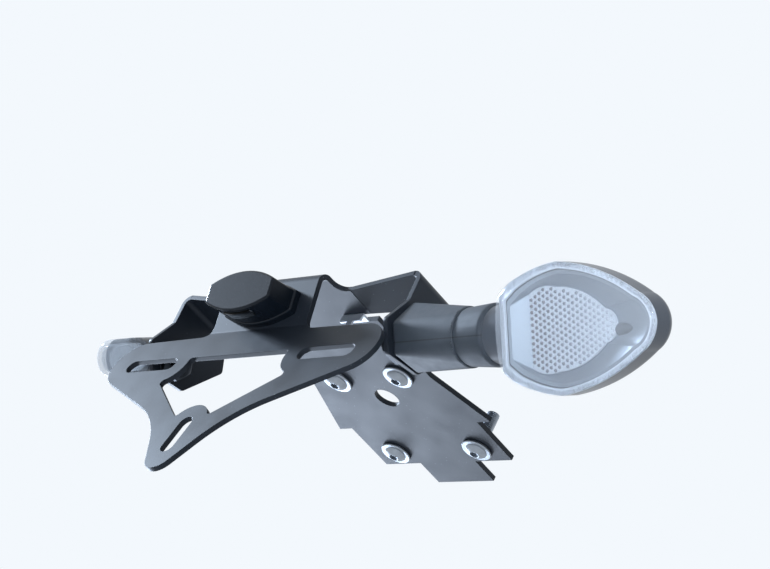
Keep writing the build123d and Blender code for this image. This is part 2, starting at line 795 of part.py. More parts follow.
light_screws, light_washers = light_fasteners()
bulb, bulb_holder = lamp_bulb()
nodes = {
    "main_bracket": main_bracket(),
    "tail_screws": tail_screws(),
    "tail_washers": tail_washers(),
    "lead_clips": pair(lead_clip()),
    "plate_light_body": light_body(),
    "plate_light_base": light_base(),
    "plate_light_lens": light_lens(),
    "plate_light_board": light_board(),
    "plate_light_screws": light_screws,
    "plate_light_washers": light_washers,
    "right_lamp_base": right_lamp(lamp_base()),
    "right_lamp_sleeve": right_lamp(lamp_sleeve()),
    "right_lamp_housing": right_lamp(lamp_housing()),
    "right_lamp_gasket": right_lamp(lamp_gasket()),
    "right_lamp_lens": right_lamp(lamp_lens()),
    "right_lamp_optic": right_lamp(lamp_optic()),
    "right_lamp_reflector": right_lamp(lamp_reflector()),
    "right_lamp_bulb": right_lamp(bulb),
    "right_lamp_bulb_holder": right_lamp(bulb_holder),
    "right_lamp_stem": right_lamp(lamp_stem()),
    "right_lamp_washer": right_lamp(lamp_washer(stem_d)),
    "right_lamp_nut": right_lamp(lamp_nut(stem_d)),
    "left_lamp_pad": left_lamp(short_pad()),
    "left_lamp_body": left_lamp(short_body()),
    "left_lamp_lens": left_lamp(short_lens()),
    "left_lamp_board": left_lamp(short_board()),
    "left_lamp_stem": left_lamp(short_stem()),
    "left_lamp_washer": left_lamp(lamp_washer(short_stem_d)),
    "left_lamp_nut": left_lamp(lamp_nut(short_stem_d)),
}

os.makedirs("parts", exist_ok=True)
for name, shape in nodes.items():
    export_step(shape, f"parts/{name}.step")
    print(name, len(shape.solids()), round(shape.volume, 1))
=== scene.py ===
import json
import math

import bmesh
import bpy
from mathutils import Matrix, Vector
from mathutils.geometry import convex_hull_2d


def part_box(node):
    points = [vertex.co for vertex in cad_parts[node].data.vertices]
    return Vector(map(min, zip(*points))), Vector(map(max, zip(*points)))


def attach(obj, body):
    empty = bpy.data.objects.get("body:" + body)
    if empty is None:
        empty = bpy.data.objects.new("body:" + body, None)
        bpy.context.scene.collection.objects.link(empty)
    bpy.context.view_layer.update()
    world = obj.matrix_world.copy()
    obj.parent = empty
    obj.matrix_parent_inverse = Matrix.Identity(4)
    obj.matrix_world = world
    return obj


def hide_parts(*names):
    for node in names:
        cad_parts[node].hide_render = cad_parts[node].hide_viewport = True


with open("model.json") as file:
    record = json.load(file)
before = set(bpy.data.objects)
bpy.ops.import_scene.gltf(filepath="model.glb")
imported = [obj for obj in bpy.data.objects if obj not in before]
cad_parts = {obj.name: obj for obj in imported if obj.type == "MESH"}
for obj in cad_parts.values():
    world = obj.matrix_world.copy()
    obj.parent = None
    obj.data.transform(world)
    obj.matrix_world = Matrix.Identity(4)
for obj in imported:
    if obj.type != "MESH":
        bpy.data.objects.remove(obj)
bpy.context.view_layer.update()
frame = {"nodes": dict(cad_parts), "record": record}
cadNodes = frame["nodes"]
print("stage 1: frame loaded,", len(cadNodes), "nodes")

mm = 0.001
noiseSpan = (0.3, 0.7)    # where a noise pattern spends most of its range
roundSteps = 48           # sides of a turned shape
smoothUnder = 35          # degrees: edges flatter than this are shaded smooth
flatUnder = 1.0           # degrees: CAD triangles this level with each other are one face
mergeMm = 1e-4            # points this close in a new shape are one
cadMergeMm = 1e-3         # points this close in a CAD node are one


# sRGB hex text to a linear colour
def hexColour(text):
    parts = [int(text[i:i + 2], 16) / 255 for i in (0, 2, 4)]
    return [c / 12.92 if c <= 0.04045 else ((c + 0.055) / 1.055) ** 2.4 for c in parts] + [1.0]


# adds one node: settings are its properties, inputs are numbers, colours or sockets to link
def addNode(tree, kind, inputs=None, **settings):
    made = tree.nodes.new(kind)
    for name, value in settings.items():
        setattr(made, name, value)
    for name, value in (inputs or {}).items():
        if isinstance(value, bpy.types.NodeSocket):
            tree.links.new(value, made.inputs[name])
        else:
            made.inputs[name].default_value = value
    return made


def newMaterial(name):
    made = bpy.data.materials.new(name)
    made.use_nodes = True
    made.node_tree.nodes.clear()
    return made, made.node_tree


def finishMaterial(tree, shader):
    addNode(tree, "ShaderNodeOutputMaterial", {"Surface": shader.outputs[0]})


def paint(material, *names):
    for name in names:
        mesh = cadNodes[name].data
        mesh.materials.clear()
        mesh.materials.append(material)


def boxMm(node):
    low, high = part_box(node)
    return low / mm, high / mm


# the right lamp's level frame: its stem is the axis, and the lamp is tilted back about it
lampTilt = math.radians(39.5)
stemLow, stemHigh = boxMm("right_lamp_stem")
lampAxis = Vector((0, (stemLow.y + stemHigh.y) / 2, (stemLow.z + stemHigh.z) / 2))
lampTurn = Matrix.Translation(lampAxis) @ Matrix.Rotation(lampTilt, 4, "X")

# camera: fitted to the screw heads, slots and folds in the photo
camera = {
    "place": (0.637713, -0.477546, -0.414007),
    "right": (0.706523, 0.578368, 0.407818),
    "up": (0.07575, -0.634761, 0.768987),
    "lens": 113.12,
    "sensor": 36.0,
    "near": 0.01,
}


def makeCamera():
    data = bpy.data.cameras.new("photoCamera")
    data.sensor_fit = "HORIZONTAL"
    data.sensor_width = camera["sensor"]
    data.lens = camera["lens"]
    data.clip_start = camera["near"]
    body = bpy.data.objects.new("photoCamera", data)
    right = Vector(camera["right"]).normalized()
    up = Vector(camera["up"]).normalized()
    turn = Matrix((right, up, right.cross(up))).transposed().to_4x4()
    body.matrix_world = Matrix.Translation(camera["place"]) @ turn
    bpy.context.scene.collection.objects.link(body)
    bpy.context.scene.camera = body


makeCamera()

# studio: a pale floor well below the part, a small key on the left, softboxes in front below and behind,
# and a snooted one that reaches only the right lamp
studio = {
    "floorZ": -1.1,
    "floorHalf": 18.0,
    "floorColour": "e9eaec",
    "floorRoughness": 0.9,
    "floorPale": 0.86,
    "fillColour": "d3e0f0",
    "fillStrength": 0.12,
    "backdrop": "f3f8fd",
    "partAim": (0.0, -0.02, -0.03),
    "lampAim": (0.152, -0.04, -0.02),
    "softboxes": [
        {"name": "keyLeft", "place": (-1.20, -0.36, 0.38), "aim": "partAim",
         "size": 0.18, "spread": 180, "power": 38.0, "colour": "d3e5fb"},
        {"name": "underFront", "place": (-0.88, 0.48, -0.22), "aim": "partAim",
         "size": 0.5, "spread": 180, "power": 11.0, "colour": "cfdff6"},
        {"name": "rearSoft", "place": (0.75, -1.1, -0.45), "aim": "partAim",
         "size": 0.8, "spread": 180, "power": 3.0, "colour": "dbe6f8"},
        {"name": "lampSnoot", "place": (0.45, -0.38, -0.12), "aim": "lampAim",
         "size": 0.10, "spread": 26, "power": 0.06, "colour": "e4eefb"},
    ],
}


# 1 where a surface is seen straight, in a reflection or through glass
def seenRays(tree):
    path = addNode(tree, "ShaderNodeLightPath").outputs
    seen = addNode(tree, "ShaderNodeMath", {0: path["Is Camera Ray"], 1: path["Is Glossy Ray"]},
                   operation="MAXIMUM")
    seen = addNode(tree, "ShaderNodeMath", {0: seen.outputs[0], 1: path["Is Transmission Ray"]},
                   operation="MAXIMUM")
    return seen.outputs[0]


# dim even fill for the part, and a pale backdrop where it is seen
def makeWorld():
    world = bpy.data.worlds.new("studioAir")
    bpy.context.scene.world = world
    world.use_nodes = True
    tree = world.node_tree
    tree.nodes.clear()
    fill = addNode(tree, "ShaderNodeBackground",
                   {"Color": hexColour(studio["fillColour"]), "Strength": studio["fillStrength"]})
    white = addNode(tree, "ShaderNodeBackground", {"Color": hexColour(studio["backdrop"]), "Strength": 1.0})
    blend = addNode(tree, "ShaderNodeMixShader",
                    {0: seenRays(tree), 1: fill.outputs[0], 2: white.outputs[0]})
    addNode(tree, "ShaderNodeOutputWorld", {"Surface": blend.outputs[0]})


# matt floor that still takes shadows, mostly as pale as the backdrop where it is seen
def makeFloor():
    shape = bmesh.new()
    bmesh.ops.create_grid(shape, x_segments=1, y_segments=1, size=studio["floorHalf"],
                          matrix=Matrix.Translation((0, 0, studio["floorZ"])))
    mesh = bpy.data.meshes.new("studioFloor")
    shape.to_mesh(mesh)
    shape.free()
    floor = bpy.data.objects.new("studioFloor", mesh)
    bpy.context.scene.collection.objects.link(floor)
    material, tree = newMaterial("paleFloor")
    matt = addNode(tree, "ShaderNodeBsdfPrincipled",
                   {"Base Color": hexColour(studio["floorColour"]), "Roughness": studio["floorRoughness"]})
    pale = addNode(tree, "ShaderNodeEmission", {"Color": hexColour(studio["backdrop"]), "Strength": 1.0})
    share = addNode(tree, "ShaderNodeMath", {0: seenRays(tree), 1: studio["floorPale"]}, operation="MULTIPLY")
    shader = addNode(tree, "ShaderNodeMixShader",
                     {0: share.outputs[0], 1: matt.outputs[0], 2: pale.outputs[0]})
    finishMaterial(tree, shader)
    mesh.materials.append(material)


def makeSoftboxes():
    for box in studio["softboxes"]:
        data = bpy.data.lights.new(box["name"], "AREA")
        data.shape = "SQUARE"
        data.size = box["size"]
        data.spread = math.radians(box["spread"])
        data.energy = box["power"]
        data.color = hexColour(box["colour"])[:3]
        lamp = bpy.data.objects.new(box["name"], data)
        beam = Vector(studio[box["aim"]]) - Vector(box["place"])
        turn = beam.to_track_quat("-Z", "Y").to_matrix().to_4x4()
        lamp.matrix_world = Matrix.Translation(box["place"]) @ turn
        bpy.context.scene.collection.objects.link(lamp)


makeWorld()
makeFloor()
makeSoftboxes()
bpy.context.scene.view_settings.view_transform = "Standard"
print("stage 2: camera and studio")

# powder coat on steel sheet: sprayed and baked, so it has a fine orange peel, a soft sheen and a little dust
powder = {"colour": "272c33", "lighter": "2f353d", "dust": "8e959c", "roughness": (0.38, 0.48), "ior": 1.29,
          "peelMm": 0.9, "peelBump": 0.12, "peelDeepMm": 0.06, "mottleMm": 14.0,
          "speckMm": 2.6, "speckSize": 0.09, "speckCover": 0.55}


def powderCoat():
    material, tree = newMaterial("satinPowderCoat")
    place = addNode(tree, "ShaderNodeTexCoord").outputs["Object"]
    peel = addNode(tree, "ShaderNodeTexNoise",
                   {"Vector": place, "Scale": 1 / (powder["peelMm"] * mm), "Detail": 3.0, "Roughness": 0.6})
    mottle = addNode(tree, "ShaderNodeTexNoise",
                     {"Vector": place, "Scale": 1 / (powder["mottleMm"] * mm), "Detail": 4.0})
    speck = addNode(tree, "ShaderNodeTexVoronoi",
                    {"Vector": place, "Scale": 1 / (powder["speckMm"] * mm)})
    dusty = addNode(tree, "ShaderNodeMapRange",
                    {"Value": speck.outputs["Distance"], "From Min": 0.0, "From Max": powder["speckSize"],
                     "To Min": powder["speckCover"], "To Max": 0.0})
    tone = addNode(tree, "ShaderNodeMix",
                   {"Factor": mottle.outputs["Fac"], "A": hexColour(powder["colour"]),
                    "B": hexColour(powder["lighter"])}, data_type="RGBA")
    tone = addNode(tree, "ShaderNodeMix",
                   {"Factor": dusty.outputs["Result"], "A": tone.outputs["Result"],
                    "B": hexColour(powder["dust"])}, data_type="RGBA")
    gloss = addNode(tree, "ShaderNodeMapRange",
                    {"Value": mottle.outputs["Fac"], "From Min": noiseSpan[0], "From Max": noiseSpan[1],
                     "To Min": powder["roughness"][0], "To Max": powder["roughness"][1]})
    bump = addNode(tree, "ShaderNodeBump",
                   {"Height": peel.outputs["Fac"], "Strength": powder["peelBump"],
                    "Distance": powder["peelDeepMm"] * mm})
    shader = addNode(tree, "ShaderNodeBsdfPrincipled",
                     {"Base Color": tone.outputs["Result"], "Roughness": gloss.outputs["Result"],
                      "Normal": bump.outputs["Normal"], "IOR": powder["ior"]})
    finishMaterial(tree, shader)
    return material


powderBlack = powderCoat()
paint(powderBlack, "main_bracket")

# zinc on steel: barrel plated, so it is a soft mirror with a faint cloudy bloom
zinc = {"roughness": (0.3, 0.46), "cloudMm": 2.2,
        "bright": {"name": "brightZincPlate", "colour": "a9afb7", "cloud": "8f969e", "metallic": 1.0},
        "tumbled": {"name": "tumbledZincPlate", "colour": "d3d8dd", "cloud": "bcc2c9", "metallic": 0.55},
        "black": {"name": "blackZincPlate", "colour": "3b4047", "cloud": "2c3036", "metallic": 1.0}}


def zincPlate(finish):
    material, tree = newMaterial(finish["name"])
    place = addNode(tree, "ShaderNodeTexCoord").outputs["Object"]
    cloud = addNode(tree, "ShaderNodeTexNoise",
                    {"Vector": place, "Scale": 1 / (zinc["cloudMm"] * mm), "Detail": 5.0})
    tone = addNode(tree, "ShaderNodeMix",
                   {"Factor": cloud.outputs["Fac"], "A": hexColour(finish["colour"]),
                    "B": hexColour(finish["cloud"])}, data_type="RGBA")
    gloss = addNode(tree, "ShaderNodeMapRange",
                    {"Value": cloud.outputs["Fac"], "From Min": noiseSpan[0], "From Max": noiseSpan[1],
                     "To Min": zinc["roughness"][0], "To Max": zinc["roughness"][1]})
    shader = addNode(tree, "ShaderNodeBsdfPrincipled",
                     {"Base Color": tone.outputs["Result"], "Metallic": finish["metallic"],
                      "Roughness": gloss.outputs["Result"]})
    finishMaterial(tree, shader)
    return material


brightZinc = zincPlate(zinc["bright"])
paint(brightZinc, "tail_screws", "tail_washers", "plate_light_screws", "plate_light_washers")

# the clips are tumbled before plating, so they are duller and paler
tumbledZinc = zincPlate(zinc["tumbled"])
paint(tumbledZinc, "lead_clips")

# the lamp fixings have a dark passivate over the zinc
blackZinc = zincPlate(zinc["black"])
paint(blackZinc, "right_lamp_stem", "right_lamp_washer", "right_lamp_nut",
      "left_lamp_stem", "left_lamp_washer", "left_lamp_nut")

# moulded ABS: the tool is spark eroded, so it has a fine even grain
plastic = {"grainMm": 0.35, "grainBump": 0.15, "grainDeepMm": 0.03, "glossSpread": 0.06,
           "light": {"name": "grainedAbsLight", "colour": "1b222a", "roughness": 0.25, "ior": 1.27},
           "lamp": {"name": "grainedAbsLamp", "colour": "3a424d", "roughness": 0.3, "ior": 1.62},
           "rib": {"name": "greyRib", "colour": "363d45", "roughness": 0.35, "ior": 1.5},
           "board": {"name": "solderMask", "colour": "e4e6e6", "roughness": 0.4, "ior": 1.5}}


def grainedPlastic(finish):
    material, tree = newMaterial(finish["name"])
    place = addNode(tree, "ShaderNodeTexCoord").outputs["Object"]
    grain = addNode(tree, "ShaderNodeTexNoise",
                    {"Vector": place, "Scale": 1 / (plastic["grainMm"] * mm), "Detail": 2.0})
    gloss = addNode(tree, "ShaderNodeMapRange",
                    {"Value": grain.outputs["Fac"], "To Min": finish["roughness"] - plastic["glossSpread"],
                     "To Max": finish["roughness"] + plastic["glossSpread"]})
    bump = addNode(tree, "ShaderNodeBump",
                   {"Height": grain.outputs["Fac"], "Strength": plastic["grainBump"],
                    "Distance": plastic["grainDeepMm"] * mm})
    shader = addNode(tree, "ShaderNodeBsdfPrincipled",
                     {"Base Color": hexColour(finish["colour"]), "Roughness": gloss.outputs["Result"],
                      "Normal": bump.outputs["Normal"], "IOR": finish["ior"]})
    finishMaterial(tree, shader)
    return material


paint(grainedPlastic(plastic["light"]), "plate_light_body", "plate_light_base")
paint(grainedPlastic(plastic["lamp"]), "right_lamp_housing", "left_lamp_body", "right_lamp_bulb_holder")

# circuit boards: white solder mask, printed through a screen, so it has a fine grain too
paint(grainedPlastic(plastic["board"]), "plate_light_board", "left_lamp_board")

# natural rubber, compression moulded: dull, with a parting line round the middle
rubber = {"colour": "363d45", "line": "23272b", "lineMm": 0.35, "roughness": (0.5, 0.72), "ior": 1.5,
          "dustMm": 3.0, "dustBump": 0.1, "dustDeepMm": 0.05}


def mouldedRubber():
    material, tree = newMaterial("mouldedRubber")
    place = addNode(tree, "ShaderNodeTexCoord").outputs["Object"]
    level = addNode(tree, "ShaderNodeMapping",
                    {"Vector": place, "Location": lampAxis * mm, "Rotation": (lampTilt, 0, 0)},
                    vector_type="TEXTURE")
    height = addNode(tree, "ShaderNodeSeparateXYZ", {"Vector": level.outputs["Vector"]}).outputs["Z"]
    away = addNode(tree, "ShaderNodeMath", {0: height}, operation="ABSOLUTE")
    seam = addNode(tree, "ShaderNodeMapRange",
                   {"Value": away.outputs[0], "From Min": 0.0, "From Max": rubber["lineMm"] * mm,
                    "To Min": 1.0, "To Max": 0.0})
    dust = addNode(tree, "ShaderNodeTexNoise",
                   {"Vector": place, "Scale": 1 / (rubber["dustMm"] * mm), "Detail": 6.0})
    tone = addNode(tree, "ShaderNodeMix",
                   {"Factor": seam.outputs["Result"], "A": hexColour(rubber["colour"]),
                    "B": hexColour(rubber["line"])}, data_type="RGBA")
    gloss = addNode(tree, "ShaderNodeMapRange",
                    {"Value": dust.outputs["Fac"], "To Min": rubber["roughness"][0],
                     "To Max": rubber["roughness"][1]})
    bump = addNode(tree, "ShaderNodeBump",
                   {"Height": dust.outputs["Fac"], "Strength": rubber["dustBump"],
                    "Distance": rubber["dustDeepMm"] * mm})
    shader = addNode(tree, "ShaderNodeBsdfPrincipled",
                     {"Base Color": tone.outputs["Result"], "Roughness": gloss.outputs["Result"],
                      "Normal": bump.outputs["Normal"], "IOR": rubber["ior"]})
    finishMaterial(tree, shader)
    return material


blackRubber = mouldedRubber()
paint(blackRubber, "right_lamp_base", "right_lamp_sleeve", "left_lamp_pad")

# polished mouldings: smooth, with the slight ripple of a moulded wall. The lamp lenses are thin walls that
# bend light little, so they show as a faint milky skin over what is inside, and only their cover is below 1
polished = {"rippleMm": 9.0, "rippleBump": 0.1, "rippleDeepMm": 0.1}
mouldings = {
    "right_lamp_lens": {"name": "clearPolycarbonate", "colour": "f4f8fc", "roughness": 0.07, "ior": 1.58,
                        "through": 0.0, "cover": 0.14},
    "left_lamp_lens": {"name": "palePolycarbonate", "colour": "eef3f8", "roughness": 0.07, "ior": 1.58,
                       "through": 0.0, "cover": 0.34},
    # the plate light's lens is clear: its grey colour is painted shade, for the shadow under the light
    "plate_light_lens": {"name": "polycarbonatePaintedShade", "colour": "5b636c", "roughness": 0.08, "ior": 1.58,
                         "through": 1.0, "cover": 1.0},
    "right_lamp_optic": {"name": "prismAcrylic", "colour": "d0d7df", "roughness": 0.2, "ior": 1.49,
                         "through": 0.0, "cover": 1.0},
    "right_lamp_gasket": {"name": "paleSilicone", "colour": "dfe6ee", "roughness": 0.4, "ior": 1.41,
                          "through": 0.0, "cover": 1.0},
    "right_lamp_bulb": {"name": "amberBulbGlass", "colour": "d98a2b", "roughness": 0.05, "ior": 1.5,
                        "through": 1.0, "cover": 1.0},
}


def polishedMoulding(finish):
    material, tree = newMaterial(finish["name"])
    place = addNode(tree, "ShaderNodeTexCoord").outputs["Object"]
    ripple = addNode(tree, "ShaderNodeTexNoise",
                     {"Vector": place, "Scale": 1 / (polished["rippleMm"] * mm), "Detail": 2.0})
    bump = addNode(tree, "ShaderNodeBump",
                   {"Height": ripple.outputs["Fac"], "Strength": polished["rippleBump"],
                    "Distance": polished["rippleDeepMm"] * mm})
    shader = addNode(tree, "ShaderNodeBsdfPrincipled",
                     {"Base Color": hexColour(finish["colour"]), "Roughness": finish["roughness"],
                      "IOR": finish["ior"], "Transmission Weight": finish["through"],
                      "Alpha": finish["cover"], "Normal": bump.outputs["Normal"]})
    finishMaterial(tree, shader)
    return material


for nodeName, finish in mouldings.items():
    paint(polishedMoulding(finish), nodeName)

# acrylic prisms: painted shade for the dark bulb hole and the bulb seen behind each prism, less so towards
# the lamp's tip
prism = {"inner": "5f585d", "middle": "7f8089", "outer": "c3c9d0", "roughness": 0.25, "ior": 1.49,
         "startMm": 126.0, "middleMm": 141.0, "endMm": 158.0}


def prismPaintedShade():
    material, tree = newMaterial("prismPaintedShade")
    place = addNode(tree, "ShaderNodeTexCoord").outputs["Object"]
    across = addNode(tree, "ShaderNodeSeparateXYZ", {"Vector": place}).outputs["X"]
    near = addNode(tree, "ShaderNodeMapRange",
                   {"Value": across, "From Min": prism["startMm"] * mm, "From Max": prism["middleMm"] * mm})
    far = addNode(tree, "ShaderNodeMapRange",
                  {"Value": across, "From Min": prism["middleMm"] * mm, "From Max": prism["endMm"] * mm})
    # painted shade: dark at the lamp's inboard end, paler towards its tip
    tone = addNode(tree, "ShaderNodeMix",
                   {"Factor": near.outputs["Result"], "A": hexColour(prism["inner"]),
                    "B": hexColour(prism["middle"])}, data_type="RGBA")
    tone = addNode(tree, "ShaderNodeMix",
                   {"Factor": far.outputs["Result"], "A": tone.outputs["Result"],
                    "B": hexColour(prism["outer"])}, data_type="RGBA")
    shader = addNode(tree, "ShaderNodeBsdfPrincipled",
                     {"Base Color": tone.outputs["Result"], "Roughness": prism["roughness"],
                      "IOR": prism["ior"]})
    finishMaterial(tree, shader)
    return material


# vacuum metallised plastic: a hazy mirror, with painted shade that makes it a little darker towards the
# lamp's tip
dish = {"inner": "98a4b0", "outer": "828b95", "roughness": (0.3, 0.42), "metallic": 0.5, "hazeMm": 4.0,
        "startMm": 121.0, "endMm": 140.0}


def metallisedDish():
    material, tree = newMaterial("metallisedDish")
    place = addNode(tree, "ShaderNodeTexCoord").outputs["Object"]
    haze = addNode(tree, "ShaderNodeTexNoise",
                   {"Vector": place, "Scale": 1 / (dish["hazeMm"] * mm), "Detail": 3.0})
    gloss = addNode(tree, "ShaderNodeMapRange",
                    {"Value": haze.outputs["Fac"], "To Min": dish["roughness"][0],
                     "To Max": dish["roughness"][1]})
    across = addNode(tree, "ShaderNodeSeparateXYZ", {"Vector": place}).outputs["X"]
    # painted shade: lighter inboard, darker towards the lamp's tip
    reach = addNode(tree, "ShaderNodeMapRange",
                    {"Value": across, "From Min": dish["startMm"] * mm, "From Max": dish["endMm"] * mm})
    tone = addNode(tree, "ShaderNodeMix",
                   {"Factor": reach.outputs["Result"], "A": hexColour(dish["inner"]),
                    "B": hexColour(dish["outer"])}, data_type="RGBA")
    shader = addNode(tree, "ShaderNodeBsdfPrincipled",
                     {"Base Color": tone.outputs["Result"], "Metallic": dish["metallic"],
                      "Roughness": gloss.outputs["Result"]})
    finishMaterial(tree, shader)
    return material


paint(metallisedDish(), "right_lamp_reflector")
print("stage 3: materials on the frame")


# finishes a piece drawn in millimetres: closed seams, outward faces, its material, its body, and hides the
# nodes that it stands for. The modifier keeps flat faces flat beside a rounded edge
def addPiece(name, shape, material, stands=()):
    bmesh.ops.remove_doubles(shape, verts=shape.verts, dist=mergeMm)
    bmesh.ops.recalc_face_normals(shape, faces=shape.faces)
    bmesh.ops.transform(shape, matrix=Matrix.Scale(mm, 4), verts=shape.verts)
    mesh = bpy.data.meshes.new(name)
    shape.to_mesh(mesh)
    shape.free()
    mesh.shade_smooth()
    mesh.set_sharp_from_angle(angle=math.radians(smoothUnder))
    mesh.materials.append(material)
    piece = bpy.data.objects.new(name, mesh)
    bpy.context.scene.collection.objects.link(piece)
    shade = piece.modifiers.new("evenShade", "WEIGHTED_NORMAL")
    shade.keep_sharp = True
    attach(piece, "root")
    if stands:
        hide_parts(*stands)
    print("  piece", name, len(mesh.polygons), "faces")


# turns a profile of (radius, height) points round Z and gives the new points
def spinProfile(shape, points, place, steps=roundSteps, closed=True):
    before = len(shape.verts)
    ring = [shape.verts.new((r, 0, z)) for r, z in points]
    pairs = list(zip(ring, ring[1:])) + ([(ring[-1], ring[0])] if closed else [])
    line = [shape.edges.new(pair) for pair in pairs]
    bmesh.ops.spin(shape, geom=ring + line, cent=(0, 0, 0), axis=(0, 0, 1), dvec=(0, 0, 0),
                   angle=2 * math.pi, steps=steps, use_merge=True)
    shape.verts.ensure_lookup_table()
    made = shape.verts[before:]
    bmesh.ops.transform(shape, matrix=place, verts=made)
    return made


# reach of a hexagon from its middle to its side, in the direction of turn
def hexReach(flats, turn):
    sixth = math.pi / 3
    return flats / 2 / math.cos((turn + sixth / 2) % sixth - sixth / 2)


# copy of a CAD node with its sharp edges rounded off
def softenedCopy(node, edge):
    shape = bmesh.new()
    shape.from_mesh(cadNodes[node].data)
    bmesh.ops.transform(shape, matrix=Matrix.Scale(1 / mm, 4), verts=shape.verts)
    bmesh.ops.remove_doubles(shape, verts=shape.verts, dist=cadMergeMm)
    bmesh.ops.dissolve_limit(shape, angle_limit=math.radians(flatUnder), verts=shape.verts,
                             edges=shape.edges, use_dissolve_boundaries=False)
    sharpOver = math.radians(edge["sharpOver"])
    sharp = [e for e in shape.edges if len(e.link_faces) == 2 and e.calc_face_angle(0) > sharpOver]
    bmesh.ops.bevel(shape, geom=sharp, offset=edge["radius"], offset_type="OFFSET", affect="EDGES",
                    segments=edge["segments"], profile=0.5, material=-1, clamp_overlap=False)
    return shape


# folded sheet: its laser cut edges are rounded over by the coat
sheetEdge = {"radius": 0.14, "segments": 2, "sharpOver": 35}
addPiece("foldedBracket", softenedCopy("main_bracket", sheetEdge), powderBlack,
         ["main_bracket"])

# dome head screws: cold headed, hexagon socket, rolled thread above the plate
tailScrew = {"headR": 4.3, "headH": 2.4, "rim": 0.3, "edge": 0.1, "crownR": 1.9, "arcSteps": 7,
             "socketFlats": 3.0, "socketLip": 0.45, "socketDeep": 1.5,
             "shankR": 2.5, "pitch": 0.8, "threadDeep": 0.42, "threadSteps": 24}


def screwSpots():
    patterns = [m for m in frame["record"]["mounts"] if m["kind"] == "bolt_pattern"]
    return [(side * m["dims"]["pcd_mm"] / 2, m["pos_m"][1] / mm) for m in patterns for side in (-1, 1)]


# rolled thread along Z: a V swept up a helix, cut square at both ends
def addThread(shape, length):
    pitch = tailScrew["pitch"]
    crest = tailScrew["shankR"]
    root = crest - tailScrew["threadDeep"]
    steps = tailScrew["threadSteps"]
    turns = int(length / pitch) + 2
    rod = bmesh.new()
    ring = [rod.verts.new(v) for v in ((root, 0, -pitch), (crest, 0, -pitch / 2), (root, 0, 0))]
    line = [rod.edges.new(pair) for pair in zip(ring, ring[1:])]
    bmesh.ops.spin(rod, geom=ring + line, cent=(0, 0, 0), axis=(0, 0, 1), dvec=(0, 0, pitch / steps),
                   angle=2 * math.pi * turns, steps=steps * turns)
    bmesh.ops.remove_doubles(rod, verts=rod.verts, dist=mergeMm)
    for height, outward in ((0, -1), (length, 1)):
        bmesh.ops.bisect_plane(rod, geom=rod.verts[:] + rod.edges[:] + rod.faces[:],
                               plane_co=(0, 0, height), plane_no=(0, 0, outward), clear_outer=True)
    bmesh.ops.holes_fill(rod, edges=[e for e in rod.edges if e.is_boundary], sides=0)
    held = bpy.data.meshes.new("threadRod")
    rod.to_mesh(held)
    rod.free()
    shape.from_mesh(held)
    bpy.data.meshes.remove(held)


# sinks a hexagon socket into the open ring at the head's crown
def sinkSocket(shape, rim, low):
    for depth in (tailScrew["socketLip"], tailScrew["socketDeep"]):
        made = bmesh.ops.extrude_edge_only(shape, edges=rim)["geom"]
        for v in [g for g in made if isinstance(g, bmesh.types.BMVert)]:
            turn = math.atan2(v.co.y, v.co.x)
            reach = hexReach(tailScrew["socketFlats"], turn)
            v.co = (reach * math.cos(turn), reach * math.sin(turn), low + depth)
        rim = [g for g in made if isinstance(g, bmesh.types.BMEdge) and g.is_boundary]
    bmesh.ops.edgeloop_fill(shape, edges=rim)


def domeScrew():
    low, high = boxMm("tail_screws")
    headR, crownR, shankR = tailScrew["headR"], tailScrew["crownR"], tailScrew["shankR"]
    under = low.z + tailScrew["headH"]
    rise = tailScrew["headH"] - tailScrew["rim"]
    ballR = (headR ** 2 + rise ** 2) / (2 * rise)
    steps = tailScrew["arcSteps"]
    reaches = [crownR + (headR - crownR) * i / steps for i in range(steps + 1)]
    dome = [(r, low.z + ballR - math.sqrt(ballR ** 2 - r ** 2)) for r in reaches]
    edge = tailScrew["edge"]
    neck = [(headR, under - edge), (headR - edge, under), (shankR, under), (shankR, 0), (0, 0)]
    shape = bmesh.new()
    spinProfile(shape, dome + neck, Matrix(), closed=False)
    halfway = low.z + tailScrew["headH"] / 2
    rim = [e for e in shape.edges if e.is_boundary and all(v.co.z < halfway for v in e.verts)]
    sinkSocket(shape, rim, low.z)
    addThread(shape, high.z)
    return shape


# copies a shape to each place, and moves the first one to its own
def repeated(shape, places):
    seed = shape.verts[:] + shape.edges[:] + shape.faces[:]
    for place in places[1:]:
        made = bmesh.ops.duplicate(shape, geom=seed)["geom"]
        bmesh.ops.transform(shape, matrix=place, verts=[g for g in made if isinstance(g, bmesh.types.BMVert)])
    first = [g for g in seed if isinstance(g, bmesh.types.BMVert)]
    bmesh.ops.transform(shape, matrix=places[0], verts=first)
    return shape


screwPlaces = [Matrix.Translation((x, y, 0)) for x, y in screwSpots()]
addPiece("tailDomeScrews", repeated(domeScrew(), screwPlaces), brightZinc, ["tail_screws"])

# pressed washers: their edges are tumbled round
washer = {"edge": 0.3, "tailRoom": 0.2, "lampRoom": 0.3}


def washerRing(shape, inner, outer, thick, place):
    edge = washer["edge"]
    profile = [(inner, edge), (inner, thick - edge), (inner + edge, thick), (outer - edge, thick),
               (outer, thick - edge), (outer, edge), (outer - edge, 0), (inner + edge, 0)]
    spinProfile(shape, profile, place)


def tailWashers():
    low, high = boxMm("tail_washers")
    inner = tailScrew["shankR"] + washer["tailRoom"]
    outer = (high.x - low.x - max(x for x, y in screwSpots()) * 2) / 2
    shape = bmesh.new()
    for x, y in screwSpots():
        washerRing(shape, inner, outer, high.z - low.z, Matrix.Translation((x, y, low.z)))
    return shape


addPiece("tailWashers", tailWashers(), brightZinc, ["tail_washers"])

# lamp nuts and their washers: crown and corner are shares of the width across flats
lampNut = {"flats": 13.0, "lead": 0.3, "crown": 0.47, "corner": 0.58, "slope": 0.55, "room": 0.15}


